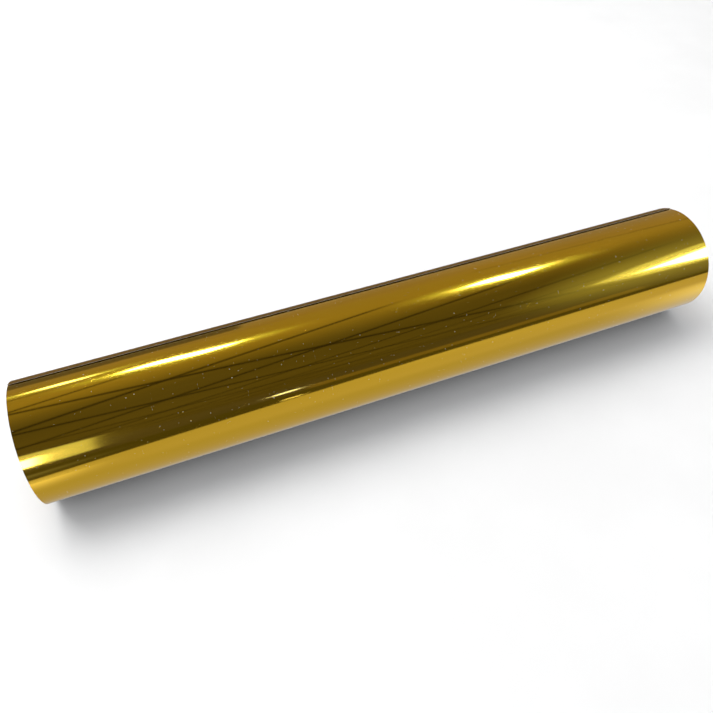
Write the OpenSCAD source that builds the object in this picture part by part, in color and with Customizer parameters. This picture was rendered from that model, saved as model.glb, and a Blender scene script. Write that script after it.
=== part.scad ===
// Roll of gold mirror sign vinyl: a self-wound web of face film on a release liner,
// started with tape on a spiral-wound paperboard core, with a loose end that lifts
// off the roll and a film tip that peels off its liner.
//
// The roll's axis is X and the origin is the centre of the core's bore. A place round
// the roll is an angle from the front (-Y), up over the top (+Z, 90) to the back (180).

/* [Web] */
// Width of the web, which is the roll's length
web_w = 610; // [300:10:1220]
// Full turns of web between the core and the web's free end
turns = 31; // [8:1:50]
// Thickness of the release liner
liner_t = 0.12; // [0.08:0.01:0.16]
// Thickness of the metallised face film with its adhesive
film_t = 0.07; // [0.05:0.01:0.1]
// Air wound in between two turns
wound_air = 0.01; // [0.01:0.01:0.05]

/* [Core] */
// Bore of the paperboard core
core_bore = 76.2; // [50:0.1:152.4]
// Paperboard plies between the inner and the outer ply
body_plies = 5; // [2:1:8]
// Thickness of one of those plies
body_ply_t = 0.65; // [0.4:0.05:1]
// Thickness of the smooth inner ply, which lines the bore
inner_ply_t = 0.4; // [0.3:0.05:0.8]
// Thickness of the outer ply, which the web is wound on
outer_ply_t = 0.35; // [0.3:0.05:0.8]
// How far the core stands proud of the web at each end
core_proud = 1; // [0:0.5:3]

/* [Starter tape] */
// Space that the tape takes up between the core and the first turn
tape_space = 0.3; // [0.3:0.05:0.5]
// Width of the tape round the core, in degrees
tape_deg = 30; // [20:10:60]
// How far the tape stops short of the web's edges
tape_inset = 20; // [0:5:60]

/* [Loose end] */
// Where the web's free edge lies
free_edge = 115; // [90:5:140]
// Where the loose end leaves the roll
tail_root = 190; // [180:5:220]
// Length of each of the two short bending links, in degrees
link_deg = 15; // [10:5:20]
// Length of the film tip that peels off the liner, in degrees
tip_deg = 25; // [10:5:25]
// How much looser than the turns below the outer wrap is by the time it ends
slack = 0.3; // [0.25:0.05:1]

/* [Hidden] */
$fn = 180;
wound_facet = 10;   // the turns underneath are made of flats of this many degrees
facet = 5;          // the outer wrap and the loose end are made of finer ones
glue_line = 0.05;   // between two plies of the core
bond_line = 0.01;   // between the film and its liner
cut = 0.04;         // between one stretch of web and the next, in degrees

core_len = web_w + 2 * core_proud;
body_r = core_bore / 2 + inner_ply_t + glue_line;
outer_ply_r = body_r + body_plies * (body_ply_t + glue_line);
core_r = outer_ply_r + outer_ply_t;

web_t = liner_t + bond_line + film_t;
pitch = web_t + wound_air;
end_turn = 360 * turns;
root_turn = end_turn - (tail_root - free_edge);
wrap_turn = root_turn - 360;

// The web is placed by how far it has been wound, in degrees from its start on the core.
function slack_at(turn) = slack * max(0, min(1, (turn - wrap_turn) / 360));
function web_r(turn) = core_r + tape_space + pitch * turn / 360 + slack_at(turn);
function place(turn) = free_edge + end_turn - turn;
function at(turn, depth) =
    let (r = web_r(turn) + depth) [-r * cos(place(turn)), r * sin(place(turn))];

// The turns at which a stretch of web bends, with its two ends.
function bends(from, to, step) = [from, each [for (t = [ceil((from + 0.001) / step) * step
    : step : to - 0.001]) t], to];

// A stretch of one layer of the web: depth is its height above the web's inner face.
module layer(from, to, depth, thick, step) {
    line = bends(from, to, step);
    last = len(line) - 1;
    rotate([90, 0, 90])
        linear_extrude(web_w, center = true)
            polygon([for (t = line) at(t, depth),
                     for (i = [last : -1 : 0]) at(line[i], depth + thick)]);
}

module liner(from, to, step = facet) {
    color("ivory") layer(from, to, 0, liner_t, step);
}

module film(from, to, step = facet) {
    color("goldenrod") layer(from, to, liner_t + bond_line, film_t, step);
}

// One ply of the core, as a tube along X.
module ply(inner_r, thick) {
    rotate([0, 90, 0])
        difference() {
            cylinder(r = inner_r + thick, h = core_len, center = true);
            cylinder(r = inner_r, h = core_len + 2, center = true);
        }
}

module core_inner_ply() {
    color("tan") ply(core_bore / 2, inner_ply_t);
}

module core_ply(i) {
    color("burlywood") ply(body_r + (i - 1) * (body_ply_t + glue_line), body_ply_t);
}

module core_outer_ply() {
    color("tan") ply(outer_ply_r, outer_ply_t);
}

// The tape's flats just clear the round core and the first turn.
module starter_tape() {
    low_r = core_r / cos(wound_facet / 2) + bond_line;
    high_r = core_r + tape_space - bond_line;
    angles = [for (a = [0 : wound_facet : tape_deg]) free_edge - a];
    last = len(angles) - 1;
    color("lightyellow")
        rotate([90, 0, 90])
            linear_extrude(web_w - 2 * tape_inset, center = true)
                polygon([for (a = angles) low_r * [-cos(a), sin(a)],
                         for (i = [last : -1 : 0]) high_r * [-cos(angles[i]), sin(angles[i])]]);
}

// The loose end's links, from the root to the free edge.
link_1 = root_turn;
link_2 = link_1 + link_deg;
link_3 = link_2 + link_deg;
tip = end_turn - tip_deg;

core_inner_ply();
for (i = [1 : body_plies])
    core_ply(i);
core_outer_ply();
starter_tape();
liner(0, wrap_turn - cut, wound_facet);  // liner_winding
film(0, wrap_turn - cut, wound_facet);  // film_winding
liner(wrap_turn, root_turn);  // outer_wrap_liner
film(wrap_turn, root_turn);  // outer_wrap_film
liner(link_1 + cut, link_2);  // tail_liner_1
film(link_1 + cut, link_2);  // tail_film_1
liner(link_2 + cut, link_3);  // tail_liner_2
film(link_2 + cut, link_3);  // tail_film_2
liner(link_3 + cut, end_turn);  // tail_liner_3
film(link_3 + cut, tip);  // tail_film_3
film(tip + cut, end_turn);  // film_tip
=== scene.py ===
import math

import bmesh
import bpy
import numpy as np
from mathutils import Matrix, Vector


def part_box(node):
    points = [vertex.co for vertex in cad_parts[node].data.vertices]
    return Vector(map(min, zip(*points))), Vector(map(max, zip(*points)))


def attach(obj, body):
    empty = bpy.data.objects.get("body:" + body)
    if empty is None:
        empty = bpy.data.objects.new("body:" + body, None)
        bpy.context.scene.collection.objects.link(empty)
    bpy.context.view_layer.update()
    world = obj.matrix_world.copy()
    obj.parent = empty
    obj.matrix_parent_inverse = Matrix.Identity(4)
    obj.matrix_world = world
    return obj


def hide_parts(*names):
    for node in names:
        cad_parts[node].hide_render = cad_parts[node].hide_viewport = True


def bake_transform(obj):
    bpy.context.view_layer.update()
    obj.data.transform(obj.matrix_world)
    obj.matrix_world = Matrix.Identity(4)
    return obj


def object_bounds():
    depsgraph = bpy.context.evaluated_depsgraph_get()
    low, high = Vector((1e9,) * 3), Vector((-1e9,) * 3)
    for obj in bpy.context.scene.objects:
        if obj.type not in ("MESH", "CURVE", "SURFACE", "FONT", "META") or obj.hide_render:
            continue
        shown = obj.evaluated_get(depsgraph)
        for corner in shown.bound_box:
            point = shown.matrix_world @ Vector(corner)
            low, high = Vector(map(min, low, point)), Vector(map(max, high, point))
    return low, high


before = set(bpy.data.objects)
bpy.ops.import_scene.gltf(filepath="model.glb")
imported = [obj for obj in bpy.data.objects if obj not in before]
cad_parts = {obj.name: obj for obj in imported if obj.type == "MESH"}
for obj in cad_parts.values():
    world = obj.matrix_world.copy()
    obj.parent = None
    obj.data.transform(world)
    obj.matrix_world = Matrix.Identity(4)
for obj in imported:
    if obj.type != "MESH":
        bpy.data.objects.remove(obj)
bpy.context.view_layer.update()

# ---------------------------------------------------------------- sizes
# Metres, and degrees. A turn is how far the web has been wound. A place is an angle round
# the roll, from the front (-Y), up over the top (+Z, 90) to the back (180). The values are the
# CAD model's own, and what its boxes give is read from them.
MM = 0.001
LINER_T = 0.12 * MM
FILM_T = 0.07 * MM
BOND_LINE = 0.01 * MM
WOUND_AIR = 0.01 * MM
TAPE_SPACE = 0.3 * MM
TAPE_INSET = 20 * MM
TAPE_T = 0.1 * MM
TAPE_DEG = 30
SLACK = 0.3 * MM
TURNS = 31
FREE_EDGE = 115
TAIL_ROOT = 190
LINK_DEG = 15
TIP_DEG = 25
GLUE_LINE = 0.05 * MM
PLIES = 5

web_low, web_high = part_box("outer_wrap_film")
inner_low, inner_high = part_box("core_inner_ply")
skin_low, skin_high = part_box("core_outer_ply")
WEB_W = web_high.x - web_low.x
CORE_LEN = inner_high.x - inner_low.x
CORE_R = (skin_high.z - skin_low.z) / 2
BORE_R = 38.1 * MM
INNER_PLY_T = 0.4 * MM
BODY_PLY_T = 0.65 * MM

WEB_T = LINER_T + BOND_LINE + FILM_T
PITCH = WEB_T + WOUND_AIR
END_TURN = 360 * TURNS
ROOT_TURN = END_TURN - (TAIL_ROOT - FREE_EDGE)
WRAP_TURN = ROOT_TURN - 360
LINK_2 = ROOT_TURN + LINK_DEG
LINK_3 = LINK_2 + LINK_DEG
FLAP_TURN = LINK_3 + LINK_DEG
TIP_TURN = END_TURN - TIP_DEG
PEEL_BEND_END = TIP_TURN + 10
FILM_DEPTH = LINER_T + BOND_LINE


# ---------------------------------------------------------------- the wound web's shape
def smooth(t):
    """0 to 1 with no corner at either end."""
    t = np.clip(t, 0, 1)
    return t * t * (3 - 2 * t)


def waves(*coordinates, seed, count, low, high):
    """Soft noise from about -1 to 1: sines of seeded directions and lengths, low to high cycles."""
    rng = np.random.default_rng(seed)
    total = 0
    for _ in range(count):
        direction = rng.normal(size=len(coordinates))
        direction = direction / np.linalg.norm(direction) * rng.uniform(low, high)
        phase = rng.uniform(0, 2 * math.pi)
        total = total + np.sin(sum(2 * math.pi * c * k for c, k in zip(coordinates, direction)) + phase)
    return total / math.sqrt(count)


# one dent near the right end, soft waves that fade in over the first stretch of the outer wrap,
# the free edge's last few degrees, which stand up, and how far out of line the wound edges lie
DENT_X, DENT_PLACE = 212 * MM, 85
DENT_REACH, DENT_DEPTH = 4.2 * MM, 0.115 * MM
RIPPLE, RIPPLE_FADE_DEG = 0.035 * MM, 70
EDGE_LIFT, EDGE_LIFT_DEG = 0.40 * MM, 6
SIDE_STEP = 0.20 * MM


def place(turn):
    """Where round the roll the web is after that much winding."""
    return FREE_EDGE + END_TURN - turn


def ripple(turn, x):
    """How far the outer wrap stands off its true spiral: soft waves, and one dent into its slack."""
    angle = np.radians(place(turn))
    round_y, round_z = np.cos(angle), np.sin(angle)
    fine = waves(x / WEB_W, round_y, round_z, seed=4, count=9, low=0.5, high=2.6)
    height = RIPPLE * (1.6 + 0.5 * fine)
    near = ((x - DENT_X) / DENT_REACH) ** 2
    near = near + (np.radians(place(turn) % 360 - DENT_PLACE) * CORE_R / DENT_REACH) ** 2
    height = height - DENT_DEPTH * np.exp(-near)
    return height * smooth((turn - WRAP_TURN) / RIPPLE_FADE_DEG)


def web_radius(turn, x):
    """How far the web's inner face is from the roll's middle."""
    slack = SLACK * np.clip((turn - WRAP_TURN) / 360, 0, 1)
    lift = EDGE_LIFT * smooth((turn - END_TURN) / EDGE_LIFT_DEG + 1)
    return CORE_R + TAPE_SPACE + PITCH * turn / 360 + slack + lift + ripple(turn, x)


def side_step(turn):
    """How far a turn lies off the roll's middle: wound edges never line up quite flush."""
    return SIDE_STEP * waves(turn / 360, seed=9, count=7, low=0.15, high=1.6)


def web_point(turn, x, depth):
    """A point of the web, with depth measured up from its inner face."""
    angle, radius = np.radians(place(turn)), web_radius(turn, x) + depth
    return np.stack(
        np.broadcast_arrays(x + side_step(turn), -radius * np.cos(angle), radius * np.sin(angle)), -1
    )


def web_normal(turn, x, depth):
    """The outward normal of the rippled web, from its slopes."""
    small_turn, small_x = 0.1, 0.2 * MM
    along = web_point(turn + small_turn, x, depth) - web_point(turn - small_turn, x, depth)
    across = web_point(turn, x + small_x, depth) - web_point(turn, x - small_x, depth)
    normal = np.cross(along, across)
    return normal / np.linalg.norm(normal, axis=-1, keepdims=True)


# ---------------------------------------------------------------- meshes
def new_object(name, verts, faces, materials, face_material, uvs=None, normals=None):
    """A mesh object from arrays: uvs and normals are one row per face corner."""
    mesh = bpy.data.meshes.new(name)
    mesh.from_pydata(verts.reshape(-1, 3).tolist(), [], faces.tolist())
    for material in materials:
        mesh.materials.append(material)
    mesh.polygons.foreach_set("material_index", face_material)
    mesh.polygons.foreach_set("use_smooth", np.ones(len(faces), bool))
    if uvs is not None:
        layer = mesh.uv_layers.new(name="web")
        layer.data.foreach_set("uv", uvs.reshape(-1).astype(np.float32))
    if normals is not None:
        mesh.normals_split_custom_set(normals.reshape(-1, 3).tolist())
    mesh.update()
    obj = bpy.data.objects.new(name, mesh)
    bpy.context.scene.collection.objects.link(obj)
    return obj


def quads(a, b, c, d):
    """Rows of four corners from four grids of vertex numbers."""
    return np.stack([a, b, c, d], -1).reshape(-1, 4)


def slab(name, outer, inner, outer_normal, uv, materials, sides):
    """A closed thin sheet between two grids of points (rows, columns, 3).

    sides is the material index of the outer face, the inner face and the edges.
    Rows run so that row direction x column direction points out of the outer face.
    """
    rows, columns = outer.shape[:2]
    index = np.arange(rows * columns).reshape(rows, columns)
    inside = index + rows * columns
    top = quads(index[:-1, :-1], index[1:, :-1], index[1:, 1:], index[:-1, 1:])
    under = quads(inside[:-1, :-1], inside[:-1, 1:], inside[1:, 1:], inside[1:, :-1])
    left = quads(index[:-1, 0], inside[:-1, 0], inside[1:, 0], index[1:, 0])
    right = quads(index[:-1, -1], index[1:, -1], inside[1:, -1], inside[:-1, -1])
    first = quads(index[0, :-1], index[0, 1:], inside[0, 1:], inside[0, :-1])
    last = quads(index[-1, :-1], inside[-1, :-1], inside[-1, 1:], index[-1, 1:])
    faces = np.concatenate([top, under, left, right, first, last])
    kind = np.concatenate(
        [np.full(len(top), sides[0]), np.full(len(under), sides[1])]
        + [np.full(len(part), sides[2]) for part in (left, right, first, last)]
    )
    verts = np.concatenate([outer.reshape(-1, 3), inner.reshape(-1, 3)])
    flat_uv = np.concatenate([uv.reshape(-1, 2)] * 2)
    flat_normal = outer_normal.reshape(-1, 3)
    normals = [flat_normal[top].reshape(-1, 3), -flat_normal[under - rows * columns].reshape(-1, 3)]
    for part in (left, right, first, last):
        corner = verts[part]
        across = np.cross(corner[:, 1] - corner[:, 0], corner[:, 2] - corner[:, 0])
        across /= np.maximum(np.linalg.norm(across, axis=1, keepdims=True), 1e-12)
        normals.append(np.repeat(across, 4, axis=0))
    return new_object(
        name, verts, faces, materials, kind, flat_uv[faces.reshape(-1)], np.concatenate(normals)
    )


def strip(name, start, end, depth, thick, step, cells, materials):
    """A stretch of one layer of the web, from one amount of winding to another."""
    first = math.ceil((start + 0.01) / step) * step
    turn = np.concatenate([[start], np.arange(first, end - 0.01, step), [end]])[:, None]
    x = np.linspace(-WEB_W / 2, WEB_W / 2, cells + 1)[None, :]
    outer = web_point(turn, x, depth + thick)
    inner = web_point(turn, x, depth)
    normal = web_normal(turn, x, depth + thick)
    # the web's own length grows with every turn, so a pattern on it never jumps
    length = np.radians(turn) * (CORE_R + PITCH * turn / 720)
    uv = np.stack(np.broadcast_arrays(x, length), -1)
    return slab(name, outer, inner, normal, uv, materials, (0, 1, 2))


def tube(name, inner_r, outer_r, materials, fray, seed, columns=180):
    """A closed tube along X, a ring profile swept round, with softened and frayed ends.

    The first material is the wall's and the second is the ends'.
    """
    edge = min(0.12 * MM, (outer_r - inner_r) * 0.35)
    half = CORE_LEN / 2
    profile = [
        (-half + edge, inner_r), (half - edge, inner_r), (half, inner_r + edge),
        (half, outer_r - edge), (half - edge, outer_r), (-half + edge, outer_r),
        (-half, outer_r - edge), (-half, inner_r + edge),
    ]
    angle = np.linspace(0, 2 * math.pi, columns, endpoint=False)
    rng = np.random.default_rng(seed)
    worn = fray * rng.uniform(-1, 0, size=(2, columns))
    worn = (worn + np.roll(worn, 1, 1) + np.roll(worn, -1, 1)) / 3
    verts = np.zeros((len(profile), columns, 3))
    for i, (x, r) in enumerate(profile):
        wear = worn[0] if x > 0 else -worn[1]
        verts[i] = np.stack([x + wear, -r * np.cos(angle), r * np.sin(angle)], -1)
    faces, kinds, uvs = [], [], []
    for i in range(len(profile)):
        n = (i + 1) % len(profile)
        on_wall = i in (0, 4)
        for j in range(columns):
            m = (j + 1) % columns
            faces.append([i * columns + j, i * columns + m, n * columns + m, n * columns + j])
            kinds.append(0 if on_wall else 1)
            low, high = (2 * math.pi * inner_r * k / columns for k in (j, j + 1))
            shift = profile[i][1] - profile[n][1]
            uvs += [(profile[i][0], low), (profile[i][0], high),
                    (profile[n][0] + shift, high), (profile[n][0] + shift, low)]
    obj = new_object(name, verts, np.array(faces), materials, np.array(kinds), np.array(uvs))
    return sharpen(obj)


def sharpen(obj):
    """Shades the wall and the ends as separate smooth surfaces."""
    obj.data.set_sharp_from_angle(angle=math.radians(35))
    return obj


# the lining's helical seam: how far it travels in a turn, its depth and width, and its raised lips
SEAM_PITCH = 118 * MM
SEAM_DEPTH = 0.30 * MM
SEAM_W = 1.1 * MM
SEAM_LIP = 0.05 * MM
LINING_STEP = 5 * MM


def lining(name, inner_r, outer_r, materials):
    """The core's innermost ply: one strip wound in a helix, with the open seam that leaves."""
    stations = 2 * round(CORE_LEN / LINING_STEP) + 1
    x = np.linspace(-CORE_LEN / 2, CORE_LEN / 2, stations)
    seam = SEAM_W / inner_r
    around = np.concatenate([[-seam / 2, -seam * 0.35, seam * 0.35, seam / 2],
                             np.linspace(seam, 2 * math.pi - seam, 96)])
    columns = len(around)
    bore_r = np.full(columns, inner_r)
    bore_r[1:3] += SEAM_DEPTH
    bore_r[[0, 3]] -= SEAM_LIP
    twist = 2 * math.pi * x / SEAM_PITCH
    angle = around[None, :] + twist[:, None]

    def ring(radius):
        parts = np.broadcast_arrays(x[:, None], -radius * np.cos(angle), radius * np.sin(angle))
        return np.stack(parts, -1).reshape(-1, 3)

    verts = np.concatenate([ring(bore_r), ring(outer_r)])
    index = np.arange(stations * columns).reshape(stations, columns)
    nxt = np.roll(index, -1, axis=1)
    outside, outside_next = index + stations * columns, nxt + stations * columns
    bore = quads(index[:-1], nxt[:-1], nxt[1:], index[1:])[:, ::-1]
    back = quads(outside[:-1], outside_next[:-1], outside_next[1:], outside[1:])
    left = quads(index[0], nxt[0], outside_next[0], outside[0])
    right = quads(index[-1], nxt[-1], outside_next[-1], outside[-1])[:, ::-1]
    faces = np.concatenate([bore, back, left, right])
    kind = np.concatenate([np.zeros(len(bore) + len(back), int), np.ones(len(left) + len(right), int)])
    # the pattern on the back is shifted, so that the cut ends between the two aren't a smear of it
    wall_uv = np.stack([np.repeat(x, columns), np.tile(around * inner_r, stations)], -1)
    flat = np.concatenate([wall_uv, wall_uv + [2 * MM, 0]])
    obj = new_object(name, verts, faces, materials, kind, flat[faces.reshape(-1)])
    fix_normals(obj)
    return sharpen(obj)


def fix_normals(obj):
    """Faces of a closed mesh turned outwards."""
    work = bmesh.new()
    work.from_mesh(obj.data)
    bmesh.ops.recalc_face_normals(work, faces=work.faces)
    work.to_mesh(obj.data)
    work.free()


# ---------------------------------------------------------------- materials
class Graph:
    """A node material with one Principled shader, and short names for the nodes it needs."""

    def __init__(self, name, coordinates="web"):
        self.material = bpy.data.materials.new(name)
        self.material.use_nodes = True
        self.tree = self.material.node_tree
        self.shader = self.tree.nodes["Principled BSDF"]
        if coordinates == "web":
            uv = self.tree.nodes.new("ShaderNodeUVMap")
            uv.uv_map = "web"
            self.place = uv.outputs["UV"]
        else:
            self.place = self.tree.nodes.new("ShaderNodeTexCoord").outputs["Object"]

    def node(self, kind, **settings):
        """A new node with its settings."""
        made = self.tree.nodes.new(kind)
        for key, value in settings.items():
            setattr(made, key, value)
        return made

    def feed(self, socket, value):
        """Links a socket to another, or sets its value."""
        if isinstance(value, bpy.types.NodeSocket):
            self.tree.links.new(value, socket)
        else:
            socket.default_value = value

    def parts(self):
        """The surface's coordinates, one by one: X, Y and Z."""
        made = self.node("ShaderNodeSeparateXYZ")
        self.feed(made.inputs[0], self.place)
        return made.outputs

    def scaled(self, scale, turn=0.0, shift=(0, 0, 0)):
        """The surface's coordinates turned by some degrees, then stretched by scale (per metre)."""
        mapping = self.node("ShaderNodeMapping")
        self.feed(mapping.inputs["Vector"], self.place)
        mapping.inputs["Location"].default_value = shift
        mapping.inputs["Rotation"].default_value = (0, 0, math.radians(turn))
        if turn:
            turned = mapping.outputs["Vector"]
            mapping.inputs["Scale"].default_value = (1, 1, 1)
            mapping = self.node("ShaderNodeMapping")
            self.feed(mapping.inputs["Vector"], turned)
        mapping.inputs["Scale"].default_value = scale if hasattr(scale, "__len__") else (scale,) * 3
        return mapping.outputs["Vector"]

    def noise(self, scale, detail=2.0, roughness=0.5, turn=0.0, shift=(0, 0, 0)):
        """Soft noise from 0 to 1."""
        made = self.node("ShaderNodeTexNoise")
        self.feed(made.inputs["Vector"], self.scaled(scale, turn, shift))
        made.inputs["Scale"].default_value = 1.0
        made.inputs["Detail"].default_value = detail
        made.inputs["Roughness"].default_value = roughness
        return made.outputs["Fac"]

    def specks(self, per_metre, size, share, shift=(0, 0, 0)):
        """Round specks: 1 inside, 0 outside.

        size is a share of the cell, and share is how many of the cells have one.
        """
        made = self.node("ShaderNodeTexVoronoi", feature="F1")
        self.feed(made.inputs["Vector"], self.scaled(per_metre, shift=shift))
        made.inputs["Scale"].default_value = 1.0
        inside = self.span(made.outputs["Distance"], size, size * 0.6, 0, 1)
        pick = self.node("ShaderNodeSeparateColor")
        self.feed(pick.inputs[0], made.outputs["Color"])
        chosen = self.math("LESS_THAN", pick.outputs[0], share)
        return self.math("MULTIPLY", inside, chosen)

    def span(self, value, low, high, to_low, to_high):
        """A value from low to high, eased to run from to_low to to_high, and held beyond them."""
        if low > high:
            low, high, to_low, to_high = high, low, to_high, to_low
        made = self.node("ShaderNodeMapRange", interpolation_type="SMOOTHSTEP")
        self.feed(made.inputs["Value"], value)
        for key, number in zip(("From Min", "From Max", "To Min", "To Max"), (low, high, to_low, to_high)):
            made.inputs[key].default_value = number
        return made.outputs["Result"]

    def math(self, operation, a, b=0.0):
        """One operation on two sockets or numbers."""
        made = self.node("ShaderNodeMath", operation=operation)
        self.feed(made.inputs[0], a)
        self.feed(made.inputs[1], b)
        return made.outputs[0]

    def mix(self, share, a, b):
        """Colour a turning to b as share goes from 0 to 1."""
        made = self.node("ShaderNodeMix", data_type="RGBA")
        self.feed(made.inputs[0], share)
        for socket, value in ((made.inputs[6], a), (made.inputs[7], b)):
            self.feed(socket, (*value, 1) if isinstance(value, tuple) else value)
        return made.outputs[2]

    def bump(self, height, distance, below=None):
        """A normal raised by height times distance, on top of the one below."""
        made = self.node("ShaderNodeBump")
        made.inputs["Strength"].default_value = 1.0
        made.inputs["Distance"].default_value = distance
        self.feed(made.inputs["Height"], height)
        if below is not None:
            self.feed(made.inputs["Normal"], below)
        return made.outputs["Normal"]

    def done(self, **inputs):
        """Sets the shader's own sockets, and gives the material."""
        for key, value in inputs.items():
            socket = self.shader.inputs[key.replace("_", " ")]
            if isinstance(value, tuple) and len(value) == 3 and socket.type == "RGBA":
                value = (*value, 1)
            self.feed(socket, value)
        return self.material


def mirror_film():
    """Metallised film under a clear face: sharp gold reflections, rubs, hairlines and dust."""
    g = Graph("gold_mirror_film")
    tone = g.mix(g.noise((5, 9, 1), detail=3), (0.91, 0.535, 0.022), (0.95, 0.575, 0.032))
    dust = g.math(
        "MAXIMUM",
        g.specks(210, 0.060, 0.42),
        g.math("MAXIMUM", g.specks(520, 0.095, 0.15, (3, 1, 0)), g.specks(90, 0.030, 0.30, (7, 2, 0))),
    )
    rub = g.span(g.noise((14, 22, 1), detail=6, roughness=0.65), 0.52, 0.74, 0, 1)
    hair = g.math(
        "MAXIMUM",
        g.span(g.noise((22, 2600, 1), turn=33, detail=1), 0.735, 0.77, 0, 1),
        g.span(g.noise((30, 3100, 1), turn=-52, detail=1), 0.745, 0.78, 0, 1),
    )
    scuffed = g.span(g.noise((7, 11, 1), detail=2, shift=(2, 5, 0)), 0.50, 0.66, 0, 1)
    hair = g.math("MULTIPLY", hair, scuffed)
    rough = g.math("ADD", 0.085, g.math("MULTIPLY", rub, 0.035))
    rough = g.math("ADD", rough, g.math("MULTIPLY", hair, 0.16))
    rough = g.math("ADD", rough, g.math("MULTIPLY", dust, 0.7))
    peel = g.noise(420, detail=1)
    normal = g.bump(peel, 0.0003 * MM)
    normal = g.bump(hair, 0.0025 * MM, below=normal)
    normal = g.bump(dust, 0.02 * MM, below=normal)
    return g.done(
        Base_Color=g.mix(dust, tone, (0.86, 0.84, 0.78)),
        Metallic=g.math("SUBTRACT", 1.0, dust),
        Roughness=rough,
        Normal=normal,
        Coat_Weight=0.25,
        Coat_Roughness=0.09,
        Coat_IOR=1.5,
    )


def adhesive_back():
    """The film's underside: clear adhesive over the metal, with the liner's fine grain printed in it."""
    g = Graph("adhesive_back")
    grain = g.noise(2600, detail=3, roughness=0.6)
    pull = g.noise((260, 40, 1), detail=4, roughness=0.6)
    tone = g.mix(g.span(pull, 0.35, 0.7, 0, 1), (0.60, 0.53, 0.36), (0.70, 0.64, 0.48))
    normal = g.bump(grain, 0.004 * MM)
    normal = g.bump(pull, 0.03 * MM, below=normal)
    return g.done(
        Base_Color=tone,
        Metallic=0.55,
        Roughness=g.span(grain, 0.3, 0.7, 0.26, 0.42),
        Normal=normal,
        Coat_Weight=0.5,
        Coat_Roughness=0.22,
    )


def release_liner():
    """Siliconised paper: off-white, a faint grid of fibres, a soft sheen."""
    g = Graph("release_liner")
    cloud = g.noise((60, 60, 1), detail=5, roughness=0.6)
    fibre = g.noise((900, 220, 1), detail=4, roughness=0.65)
    tone = g.mix(g.span(cloud, 0.35, 0.65, 0, 1), (0.66, 0.65, 0.61), (0.75, 0.745, 0.71))
    fleck = g.specks(330, 0.10, 0.03)
    tone = g.mix(fleck, tone, (0.50, 0.46, 0.38))
    normal = g.bump(cloud, 0.03 * MM)
    normal = g.bump(fibre, 0.006 * MM, below=normal)
    return g.done(
        Base_Color=tone,
        Roughness=g.span(fibre, 0.3, 0.7, 0.34, 0.48),
        Normal=normal,
        Coat_Weight=0.25,
        Coat_Roughness=0.3,
    )


def paperboard(name, dark, light, strip_w=None):
    """Grey-brown core board: long fibres along the strip, flecks and soft blotches.

    Where it is wound from a strip of a given width, the strip's edges are stained by glue.
    """
    g = Graph(name)
    fibre = g.noise((260, 2400, 1), turn=24, detail=5, roughness=0.7)
    fibre_2 = g.noise((1900, 300, 1), turn=45, detail=4, roughness=0.7)
    blotch = g.noise((26, 18, 1), detail=5, roughness=0.6, shift=(4, 4, 0))
    tone = g.mix(g.span(fibre, 0.34, 0.66, 0, 1), dark, light)
    shade, stain = (tuple(c * part for c in dark) for part in (0.80, 0.45))
    tone = g.mix(g.span(blotch, 0.42, 0.72, 0, 0.55), tone, shade)
    tone = g.mix(g.specks(640, 0.13, 0.07), tone, stain)
    tone = g.mix(g.specks(470, 0.12, 0.05, (5, 3, 0)), tone, tuple(min(c * 1.35, 0.9) for c in light))
    if strip_w is not None:
        across = g.parts()["Y"]
        edge = g.math("MINIMUM", across, g.math("SUBTRACT", strip_w, across))
        reach = g.math("ADD", edge, g.math("MULTIPLY", g.math("SUBTRACT", blotch, 0.5), 8 * MM))
        tone = g.mix(g.span(reach, 0.5 * MM, 5 * MM, 0.6, 0), tone, stain)
    normal = g.bump(fibre, 0.035 * MM)
    normal = g.bump(fibre_2, 0.03 * MM, below=normal)
    normal = g.bump(blotch, 0.12 * MM, below=normal)
    return g.done(Base_Color=tone, Roughness=g.span(fibre_2, 0.3, 0.7, 0.78, 0.93), Normal=normal)


def cut_board():
    """The sawn end of the core: open, crumbly fibre ends."""
    g = Graph("core_cut_edge")
    crumb = g.noise(2300, detail=5, roughness=0.75)
    wide = g.noise((320, 60, 1), detail=3)
    tone = g.mix(g.span(crumb, 0.32, 0.68, 0, 1), (0.20, 0.135, 0.075), (0.47, 0.36, 0.23))
    tone = g.mix(g.span(wide, 0.45, 0.7, 0, 0.4), tone, (0.30, 0.22, 0.14))
    normal = g.bump(crumb, 0.12 * MM)
    return g.done(Base_Color=tone, Roughness=g.span(wide, 0.3, 0.7, 0.85, 0.97), Normal=normal)


def web_edge(name, paper, warm):
    """A slit edge of the web, seen end on: paper or film, a little dirty."""
    g = Graph(name)
    grime = g.noise((900, 900, 1), detail=4, roughness=0.65)
    wander = g.noise((300, 14, 1), detail=3)
    tone = g.mix(g.span(grime, 0.35, 0.7, 0, 1), paper, tuple(c * 0.72 for c in paper))
    tone = g.mix(g.span(wander, 0.45, 0.7, 0, 0.5), tone, warm)
    return g.done(Base_Color=tone, Roughness=g.span(grime, 0.3, 0.7, 0.45, 0.7),
                  Normal=g.bump(grime, 0.03 * MM))


def starter_tape_film():
    """Yellowed tape that has crept a little along its length."""
    g = Graph("starter_tape_film")
    creep = g.noise((1200, 160, 1), detail=4, roughness=0.6)
    cloud = g.noise((70, 70, 1), detail=3)
    tone = g.mix(g.span(cloud, 0.35, 0.65, 0, 1), (0.70, 0.64, 0.46), (0.80, 0.76, 0.60))
    return g.done(Base_Color=tone, Roughness=g.span(creep, 0.3, 0.7, 0.32, 0.5),
                  Normal=g.bump(creep, 0.03 * MM))


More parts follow.
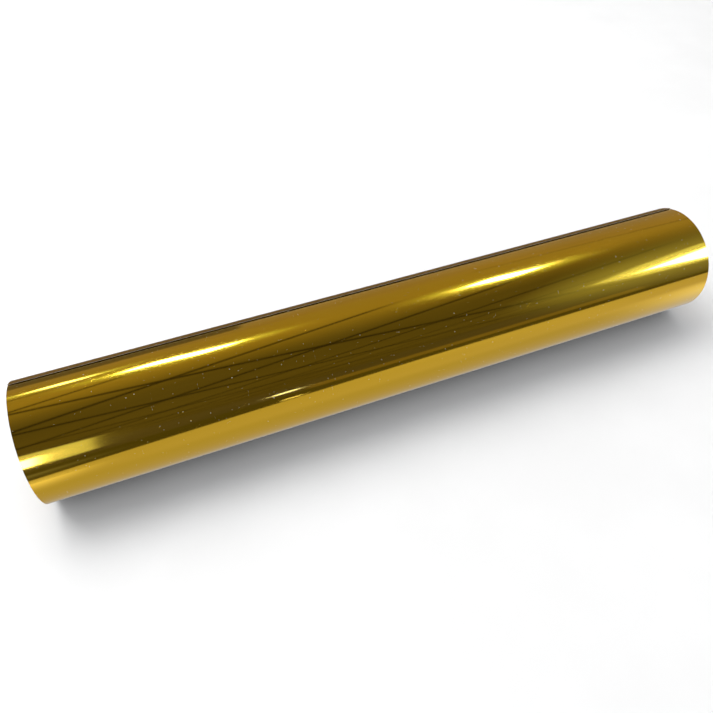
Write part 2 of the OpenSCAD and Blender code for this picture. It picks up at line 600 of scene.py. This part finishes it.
FACE = mirror_film()
BACK = adhesive_back()
LINER = release_liner()
FILM_EDGE = web_edge("film_edge", (0.66, 0.50, 0.16), (0.44, 0.33, 0.12))
LINER_EDGE = web_edge("liner_edge", (0.82, 0.80, 0.74), (0.66, 0.60, 0.50))
BOARD = paperboard("core_board", (0.27, 0.185, 0.105), (0.44, 0.33, 0.21))
BORE_BOARD = paperboard("core_lining_board", (0.34, 0.245, 0.15), (0.53, 0.41, 0.27),
                        strip_w=2 * math.pi * BORE_R)
CUT_BOARD = cut_board()
TAPE = starter_tape_film()


# ---------------------------------------------------------------- the roll's pieces
FILM_LOOK = [FACE, BACK, FILM_EDGE]
LINER_LOOK = [LINER, LINER, LINER_EDGE]
# degrees of winding from one row of the mesh to the next, and cells across the web
WOUND_STEP, WRAP_STEP, FINE_STEP, BEND_STEP = 4, 1.8, 1.5, 1.0
WRAP_CELLS, LINER_CELLS = 200, 60
FRAY, SKIN_FRAY = 0.16 * MM, 0.10 * MM


def put(obj, slot, bodies, *nodes, bend_from=None, bend_to=None):
    """Hides the CAD nodes that a piece stands for, and puts it on its body; slot is not used, and a piece
    between two bodies is only fixed where it lies.
    """
    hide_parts(*nodes)
    if len(bodies) == 1:
        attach(obj, bodies[0])
    else:
        web_place(bend_from)
        web_place(bend_to)
        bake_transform(obj)
    return obj


def web_place(turn):
    """Where the web's outer face is, halfway along the roll, after that much winding."""
    return tuple(web_point(np.array(float(turn)), np.array(0.0), WEB_T))


def film(name, start, end, bodies, node, cells=WRAP_CELLS, step=FINE_STEP):
    """A stretch of the film, on one body, or spanning two and fixed where it lies."""
    obj = strip(name, start, end, FILM_DEPTH, FILM_T, step, cells, FILM_LOOK)
    return put(obj, "film", bodies, node, bend_from=start, bend_to=end)


def liner(name, start, end, bodies, node, cells=LINER_CELLS, step=FINE_STEP):
    """A stretch of the liner, on one body, or spanning two and fixed where it lies."""
    obj = strip(name, start, end, 0.0, LINER_T, step, cells, LINER_LOOK)
    return put(obj, "liner", bodies, node, bend_from=start, bend_to=end)


def build_core():
    """The core's plies, one inside the other."""
    board = [BOARD, CUT_BOARD]
    inner = lining("core_lining", BORE_R, BORE_R + INNER_PLY_T, [BORE_BOARD, CUT_BOARD])
    put(inner, "board_face", ["roll"], "core_inner_ply")
    radius = BORE_R + INNER_PLY_T + GLUE_LINE
    for i in range(PLIES):
        ply = tube(f"core_ply_{i + 1}", radius, radius + BODY_PLY_T, board, FRAY, seed=20 + i)
        put(ply, "board", ["roll"], f"core_ply_{i + 1}")
        radius += BODY_PLY_T + GLUE_LINE
    skin = tube("core_skin", radius, CORE_R, board, SKIN_FRAY, seed=40)
    put(skin, "board_face", ["roll"], "core_outer_ply")


def build_tape():
    """The tape that holds the web's first edge to the core, in the space under the first turn."""
    turn = np.linspace(0, TAPE_DEG, 16)[:, None]
    x = np.linspace(-WEB_W / 2 + TAPE_INSET, WEB_W / 2 - TAPE_INSET, 25)[None, :]
    angle = np.radians(place(turn))

    def grid(radius):
        parts = np.broadcast_arrays(x, -radius * np.cos(angle), radius * np.sin(angle))
        return np.stack(parts, -1)

    low = CORE_R + (TAPE_SPACE - TAPE_T) / 2
    outer, inner = grid(low + TAPE_T), grid(low)
    normal = outer * np.array([0, 1, 1])
    normal /= np.linalg.norm(normal, axis=-1, keepdims=True)
    uv = np.stack(np.broadcast_arrays(x, np.radians(turn) * CORE_R), -1)
    obj = slab("core_starter_tape", outer, inner, normal, uv, [TAPE], (0, 0, 0))
    put(obj, "tape", ["roll"], "starter_tape")


def build_web():
    """Every turn that stays on the roll: the inner ones, and the outer wrap in a finer mesh."""
    film("film_turns", 0, WRAP_TURN, ["roll"], "film_winding", cells=1, step=WOUND_STEP)
    liner("liner_turns", 0, WRAP_TURN, ["roll"], "liner_winding", cells=1, step=WOUND_STEP)
    film("film_outer_wrap", WRAP_TURN, ROOT_TURN, ["roll"], "outer_wrap_film", step=WRAP_STEP)
    liner("liner_outer_wrap", WRAP_TURN, ROOT_TURN, ["roll"], "outer_wrap_liner", step=WRAP_STEP)


def build_loose_end():
    """Three links in a row, a flap, and the film's tip that peels; each stretch between two bodies is
    fixed where it lies.
    """
    chain = ["roll", "tail_1", "tail_2", "tail_3"]
    for i, start in enumerate([ROOT_TURN, LINK_2, LINK_3]):
        bodies = chain[i : i + 2]
        film(f"film_bend_{i + 1}", start, start + LINK_DEG, bodies, f"tail_film_{i + 1}")
        liner(f"liner_bend_{i + 1}", start, start + LINK_DEG, bodies, f"tail_liner_{i + 1}")
    film("film_flap", FLAP_TURN, TIP_TURN, ["tail_3"], "tail_film_3")
    liner("liner_flap", FLAP_TURN, END_TURN, ["tail_3"], "tail_liner_3")
    film("film_tip_bend", TIP_TURN, PEEL_BEND_END, ["tail_3", "peel_tip"], "film_tip", step=BEND_STEP)
    film("film_tip_end", PEEL_BEND_END, END_TURN, ["peel_tip"], "film_tip")


build_core()
build_tape()
build_web()
build_loose_end()
visual_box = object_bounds()


# ---------------------------------------------------------------- stage: floor and reflected room
# The room has its own axes: A runs along the row of lamps and B towards the back wall. It is
# turned about Z from the roll's frame, and its lengths are in metres.
ROOM_TURN = math.radians(-46)
CEILING_Z = 1.35
TILE = 0.66
# the room's corners along A and B, and its tones; the ceiling grows brighter along the roll's Y
ROOM_A, ROOM_B = (-4.2, 4.6), (-3.6, 2.1)
CEILING_DIM, CEILING_BRIGHT, CEILING_FADE = (0.102, 0.098, 0.10), (0.305, 0.275, 0.21), (-0.42, 0.88)
BACK_WALL_TONE, FRONT_WALL_TONE = (0.335, 0.29, 0.235), (0.087, 0.086, 0.15)
# the table top's lit tone, its painted shade near the roll, and where along Y the one turns into the other
TABLE_TONE, TABLE_SHADED_TONE, TABLE_SHADE_FADE = (0.565, 0.57, 0.70), (0.46, 0.465, 0.46), (-0.13, -0.09)
# painted shade: the dark space beyond the table's near edge
UNDER_TABLE_SHADE = (0.078, 0.078, 0.045)
# the tiles' joints: where one lies along A and along B, and how far along B each row still shows
TILE_LINES = (-0.15, -0.17)
TILE_LIMITS = (0.95, 0.30)
# a joint's blurred edges as shares of a tile from its middle, how much it covers, and its tone
TILE_JOINT, JOINT_COVER, JOINT_TONE = (0.446, 0.474), 0.86, (0.012, 0.010, 0.006)
FLOOR_Z = visual_box[0].z
# the table's near edge steps towards the camera, left to right; behind it the table ends far off
TABLE_SIDE, TABLE_BACK = 3.0, 1.6
TABLE_EDGE = [(-TABLE_SIDE, -0.23), (-0.36, -0.23), (0.15, -0.42), (TABLE_SIDE, -0.42)]
SHADE_REACH = 7.0
# cards that lie flat just over the floor, in the order that they cover each other
SHADE_Z, TABLE_Z, FAR_TABLE_Z = FLOOR_Z + 0.2 * MM, FLOOR_Z + 0.4 * MM, FLOOR_Z + 0.5 * MM
GLOW_Z, GLINT_Z = FLOOR_Z + 0.6 * MM, FLOOR_Z + 0.7 * MM
# each lamp's place along A and B, its length and its strength
LAMPS = [(-1.70, 0.78, 0.20, 6), (-0.87, 0.60, 0.32, 38), (0.27, 0.89, 0.15, 38)]
LAMP_W, LAMP_HALO, LAMP_DROP = 0.10, 0.40, 0.02
LAMP_TONE, HALO_TONE, HALO_STRENGTH = (0.86, 0.99, 2.1), (0.74, 0.95, 0.75), 1.05
# panes of daylight and other lit surfaces in the plane across one axis: that axis, where on it,
# the corners in the other two, the colour and the strength
PANES = {
    "window_right": ("X", 1.48, [(-1.287, 0.965), (-0.77, 0.975), (-1.14, 0.52)], (0.88, 1.0, 2.1), 17),
    "glow_right": ("X", 1.50, [(-1.547, 1.212), (-1.05, 1.273), (-0.717, 1.18), (-0.60, 1.10),
                               (-1.20, 0.42), (-1.479, 0.74)], (0.60, 0.76, 1.30), 1.0),
    "window_left": ("Y", -1.85, [(-0.95, 0.80), (-0.72, 0.73), (-0.70, 0.27), (-0.95, 0.27)],
                    (0.90, 1.0, 2.1), 14),
    "glow_left": ("Y", -1.87, [(-1.05, 1.25), (-0.54, 0.93), (-0.51, 0.19), (-1.05, 0.19)],
                  (0.84, 1.02, 1.8), 0.9),
    "cupboard": ("Y", 1.5, [(-1.30, -0.04), (0.02, -0.04), (0.02, 0.40), (-1.30, 0.44)],
                 (0.13, 0.12, 0.10), 1.0),
    "shelf": ("Y", -1.5, [(0.16, 0.125), (1.38, 0.125), (1.38, -0.04), (0.16, -0.04)],
              (0.19, 0.170, 0.15), 1.0),
    "cornice": ("Z", 1.345, [(1.120, 1.777), (3.135, -0.309), (3.192, -0.254), (1.177, 1.832)],
                (0.11, 0.09, 0.05), 1.0),
    # painted shadow: the table behind the roll, darkened as the roll's shadow
    "shaded_table_back": ("Z", FAR_TABLE_Z, [(-3.0, 0.10), (3.0, 0.10), (3.0, 1.7), (-3.0, 1.7)],
                   (0.16, 0.12, 0.07), 1.0),
    "far_lamp": ("Y", -1.4, [(0.04, 0.135), (0.11, 0.135), (0.11, 0.105), (0.04, 0.105)],
                 (0.75, 1.0, 5.0), 6),
    "table_glint": ("Z", GLINT_Z, [(-0.065, -0.435), (-0.035, -0.435), (-0.035, -0.418), (-0.065, -0.418)],
                    (0.9, 1.0, 2.0), 8),
}
# soft patches of light, across one axis: that axis, where on it, middle, reach, colour and strength
PATCHES = {
    "haze_right": ("X", 1.00, (-0.72, 0.60), (1.15, 1.05), (0.25, 0.32, 0.50), 1.0),
    "table_glow_right": ("Z", GLOW_Z, (0.42, -0.085), (0.24, 0.09), (0.56, 0.64, 1.0), 1.0),
    "shade_glow_left": ("Z", GLOW_Z, (-0.43, -0.44), (0.22, 0.27), (0.12, 0.145, 0.40), 1.0),
    "table_glow_left": ("Z", GLOW_Z, (-0.335, -0.165), (0.10, 0.09), (0.50, 0.54, 1.0), 1.0),
}
FLOOR_REACH = 40
KEY_AT, KEY_SIZE, KEY_WATTS = (-0.55, 0.75, 1.55), (1.6, 1.1), 26
SKY_TONE, SKY_STRENGTH = (0.93, 0.94, 0.96), 0.85
CAMERA_LENS, CAMERA_SENSOR_W = 33.6, 36
CAMERA_AT = (-0.1814, -0.3725, 0.4250)
CAMERA_RIGHT = (0.9292, -0.3696, 0.0)
CAMERA_UP = (0.2719, 0.6840, 0.6769)


def flat_corners(across, level, corners):
    """Corners given in two of the three axes, put at one level of the axis across them."""
    full = [list(corner) for corner in corners]
    for corner in full:
        corner.insert("XYZ".index(across), level)
    return full


def polygon_object(name, corners, material, turn=0.0):
    """One flat polygon that is part of the stage."""
    mesh = bpy.data.meshes.new(name)
    mesh.from_pydata([tuple(c) for c in corners], [], [tuple(range(len(corners)))])
    mesh.materials.append(material)
    obj = bpy.data.objects.new(name, mesh)
    obj.rotation_euler.z = turn
    bpy.context.scene.collection.objects.link(obj)
    return obj


def reflected_only(obj):
    """A studio card: glossy reflections see it, and nothing else does."""
    obj.visible_camera = False
    obj.visible_diffuse = False
    obj.visible_shadow = False
    obj.visible_transmission = False
    return obj


def glowing(g, colour, strength=1.0, cover=None, added=False):
    """Turns a graph into plain emission, see-through where cover is 0, or all over if added.

    It is dark to light that has already met a dull surface, so that the cards put no stray
    spots on the floor.
    """
    g.tree.nodes.remove(g.shader)
    light = g.node("ShaderNodeEmission")
    g.feed(light.inputs["Color"], (*colour, 1) if isinstance(colour, tuple) else colour)
    direct = g.math("LESS_THAN", g.node("ShaderNodeLightPath").outputs["Diffuse Depth"], 0.5)
    strength = g.math("MULTIPLY", strength, direct)
    surface = light.outputs[0]
    if added:
        strength = g.math("MULTIPLY", strength, cover)
        joined = g.node("ShaderNodeAddShader")
        g.tree.links.new(g.node("ShaderNodeBsdfTransparent").outputs[0], joined.inputs[0])
        g.tree.links.new(surface, joined.inputs[1])
        surface = joined.outputs[0]
    elif cover is not None:
        mixed = g.node("ShaderNodeMixShader")
        g.feed(mixed.inputs[0], cover)
        g.tree.links.new(g.node("ShaderNodeBsdfTransparent").outputs[0], mixed.inputs[1])
        g.tree.links.new(surface, mixed.inputs[2])
        surface = mixed.outputs[0]
    g.feed(light.inputs["Strength"], strength)
    g.tree.links.new(surface, g.tree.nodes["Material Output"].inputs["Surface"])
    return g.material


def room_glow(name, tone, far_tone=None, along=(0, 1), near=0.0, far=1.0, tiles=False):
    """Dim emission that stands in for the lit room's surfaces: tone, turning to far_tone along a
    direction, and tiles.
    """
    g = Graph(name, coordinates="object")
    parts = g.parts()
    colour = g.mix(g.span(g.noise(1.3, detail=2, shift=(3, 1, 2)), 0.3, 0.7, 0, 1),
                   tuple(c * 0.86 for c in tone), tone)
    if far_tone is not None:
        reach = g.math("ADD", g.math("MULTIPLY", parts["X"], along[0]),
                       g.math("MULTIPLY", parts["Y"], along[1]))
        colour = g.mix(g.span(reach, near, far, 0, 1), colour, far_tone)
    if tiles:
        bars = []
        for k, offset, limit in zip("XY", TILE_LINES, TILE_LIMITS):
            cell = g.math("FRACT", g.math("DIVIDE", g.math("SUBTRACT", parts[k], offset), TILE))
            bar = g.span(g.math("ABSOLUTE", g.math("SUBTRACT", cell, 0.5)), *TILE_JOINT, 0, JOINT_COVER)
            bars.append(g.math("MULTIPLY", bar, g.span(parts["Y"], limit - 0.3, limit, 1, 0)))
        colour = g.mix(g.math("MAXIMUM", *bars), colour, JOINT_TONE)
    return glowing(g, colour)


def lamp(name, a, b, length, strength):
    """A tube lamp on the ceiling: a bright rounded core inside a soft halo."""
    g = Graph(name + "_light", coordinates="object")
    parts = g.parts()
    gaps = []
    for k, width in (("X", length), ("Y", LAMP_W)):
        past = g.math("SUBTRACT", g.math("ABSOLUTE", parts[k]), width / 2)
        gaps.append(g.math("MAXIMUM", past, 0.0))
    squares = [g.math("MULTIPLY", gap, gap) for gap in gaps]
    away = g.math("DIVIDE", g.math("SQRT", g.math("ADD", *squares)), LAMP_HALO)
    inside = g.span(away, 0.0, 0.16, 1, 0)
    fade = g.math("POWER", g.span(away, 0.0, 1.0, 1, 0), 2.2)
    strength = g.math("ADD", g.math("MULTIPLY", inside, strength), HALO_STRENGTH)
    tone = g.mix(inside, HALO_TONE, LAMP_TONE)
    material = glowing(g, tone, strength, cover=g.math("MAXIMUM", inside, fade))
    x, y = length / 2 + LAMP_HALO, LAMP_W / 2 + LAMP_HALO
    obj = polygon_object(name, flat_corners("Z", 0, [(-x, -y), (x, -y), (x, y), (-x, y)]), material)
    place_in_room = Matrix.Translation((a, b, CEILING_Z - LAMP_DROP))
    obj.matrix_world = Matrix.Rotation(ROOM_TURN, 4, "Z") @ place_in_room
    reflected_only(obj)


def pane(name, across, level, corners, tone, strength):
    """A pane of daylight or a lit surface: even light, a little mottled."""
    g = Graph(name + "_light", coordinates="object")
    cloud = g.span(g.noise(2.2, detail=3), 0.3, 0.7, 0.85 * strength, strength)
    reflected_only(polygon_object(name, flat_corners(across, level, corners), glowing(g, tone, cloud)))


def patch(name, across, level, middle, reach, tone, strength):
    """A soft oval of light in the plane across one axis, brightest in its middle."""
    g = Graph(name + "_light", coordinates="object")
    parts = g.parts()
    away = []
    for axis, m, r in zip("XYZ".replace(across, ""), middle, reach):
        gap = g.math("DIVIDE", g.math("SUBTRACT", parts[axis], m), r)
        away.append(g.math("MULTIPLY", gap, gap))
    cover = g.math("POWER", g.span(g.math("SQRT", g.math("ADD", *away)), 0.0, 1.0, 1, 0), 1.5)
    corners = [(middle[0] + i * reach[0], middle[1] + k * reach[1])
               for i, k in ((-1, -1), (1, -1), (1, 1), (-1, 1))]
    light = glowing(g, tone, strength, cover, added=True)
    reflected_only(polygon_object(name, flat_corners(across, level, corners), light))


def build_room():
    """What the mirror shows, as glowing cards: a tiled ceiling with a row of lamps, plain walls, windows
    and a table.
    """
    (a_low, a_high), (b_low, b_high) = ROOM_A, ROOM_B
    along_y = (math.sin(ROOM_TURN), math.cos(ROOM_TURN))
    ceiling = room_glow("room_ceiling", CEILING_DIM, CEILING_BRIGHT, along_y, *CEILING_FADE, tiles=True)
    corners = [(a_low, b_low), (a_high, b_low), (a_high, b_high), (a_low, b_high)]
    reflected_only(polygon_object("ceiling", flat_corners("Z", CEILING_Z, corners), ceiling, ROOM_TURN))
    back = room_glow("room_back_wall", BACK_WALL_TONE)
    front = room_glow("room_front_wall", FRONT_WALL_TONE)
    walls = [("wall_back", (a_low, b_high), (a_high, b_high), back),
             ("wall_side", (a_low, b_low), (a_low, b_high), back),
             ("wall_front", (a_low, b_low), (a_high, b_low), front),
             ("wall_far_side", (a_high, b_low), (a_high, b_high), front)]
    for name, p, q, material in walls:
        corners = [(*p, FLOOR_Z - 1), (*q, FLOOR_Z - 1), (*q, CEILING_Z), (*p, CEILING_Z)]
        reflected_only(polygon_object(name, corners, material, ROOM_TURN))
    # the table top glows darker near the roll: painted shade
    top = room_glow("table_top", TABLE_TONE, TABLE_SHADED_TONE, (0, 1), *TABLE_SHADE_FADE)
    corners = TABLE_EDGE + [(TABLE_SIDE, TABLE_BACK), (-TABLE_SIDE, TABLE_BACK)]
    reflected_only(polygon_object("table", flat_corners("Z", TABLE_Z, corners), top))
    # a dark card beyond the table's near edge: painted shade
    shade, far = room_glow("under_table_shade", UNDER_TABLE_SHADE), SHADE_REACH
    corners = [(-far, -far), (far, -far), (far, 0), (-far, 0)]
    reflected_only(polygon_object("table_shade", flat_corners("Z", SHADE_Z, corners), shade))
    for i, values in enumerate(LAMPS):
        lamp(f"lamp_{i + 1}", *values)
    for name, values in PANES.items():
        pane(name, *values)
    for name, values in PATCHES.items():
        patch(name, *values)


def build_floor():
    """A plain pale matt floor."""
    g = Graph("pale_floor", coordinates="object")
    mottle = g.noise(9, detail=4)
    g.done(
        Base_Color=g.mix(g.span(mottle, 0.3, 0.7, 0, 1), (0.80, 0.795, 0.785), (0.83, 0.825, 0.815)),
        Roughness=g.span(mottle, 0.3, 0.7, 0.80, 0.90),
        Specular_IOR_Level=0.0,
    )
    far = FLOOR_REACH
    corners = [(-far, -far), (far, -far), (far, far), (-far, far)]
    polygon_object("floor", flat_corners("Z", FLOOR_Z, corners), g.material)


def build_lights():
    """One wide soft light above and behind, and an even pale sky."""
    key = bpy.data.lights.new("key", "AREA")
    key.shape = "RECTANGLE"
    (key.size, key.size_y), key.energy = KEY_SIZE, KEY_WATTS
    key_obj = bpy.data.objects.new("key", key)
    key_obj.location = KEY_AT
    key_obj.rotation_euler = (-key_obj.location).to_track_quat("-Z", "Y").to_euler()
    key_obj.visible_glossy = False
    bpy.context.scene.collection.objects.link(key_obj)
    world = bpy.data.worlds.new("studio")
    bpy.context.scene.world = world
    world.use_nodes = True
    sky = world.node_tree.nodes["Background"]
    sky.inputs["Color"].default_value = (*SKY_TONE, 1)
    sky.inputs["Strength"].default_value = SKY_STRENGTH


def build_camera():
    """A phone held above the front left, looking down along the roll."""
    camera = bpy.data.cameras.new("camera")
    camera.sensor_width, camera.lens = CAMERA_SENSOR_W, CAMERA_LENS
    obj = bpy.data.objects.new("camera", camera)
    bpy.context.scene.collection.objects.link(obj)
    right, up = Vector(CAMERA_RIGHT).normalized(), Vector(CAMERA_UP)
    up = (up - right * up.dot(right)).normalized()
    turn = Matrix((right, up, right.cross(up))).transposed()
    obj.matrix_world = Matrix.Translation(CAMERA_AT) @ turn.to_4x4()
    camera.clip_start, camera.clip_end = 0.02, 60
    bpy.context.scene.camera = obj


build_room()
build_floor()
build_lights()
build_camera()
bpy.context.scene.view_settings.view_transform = "Standard"
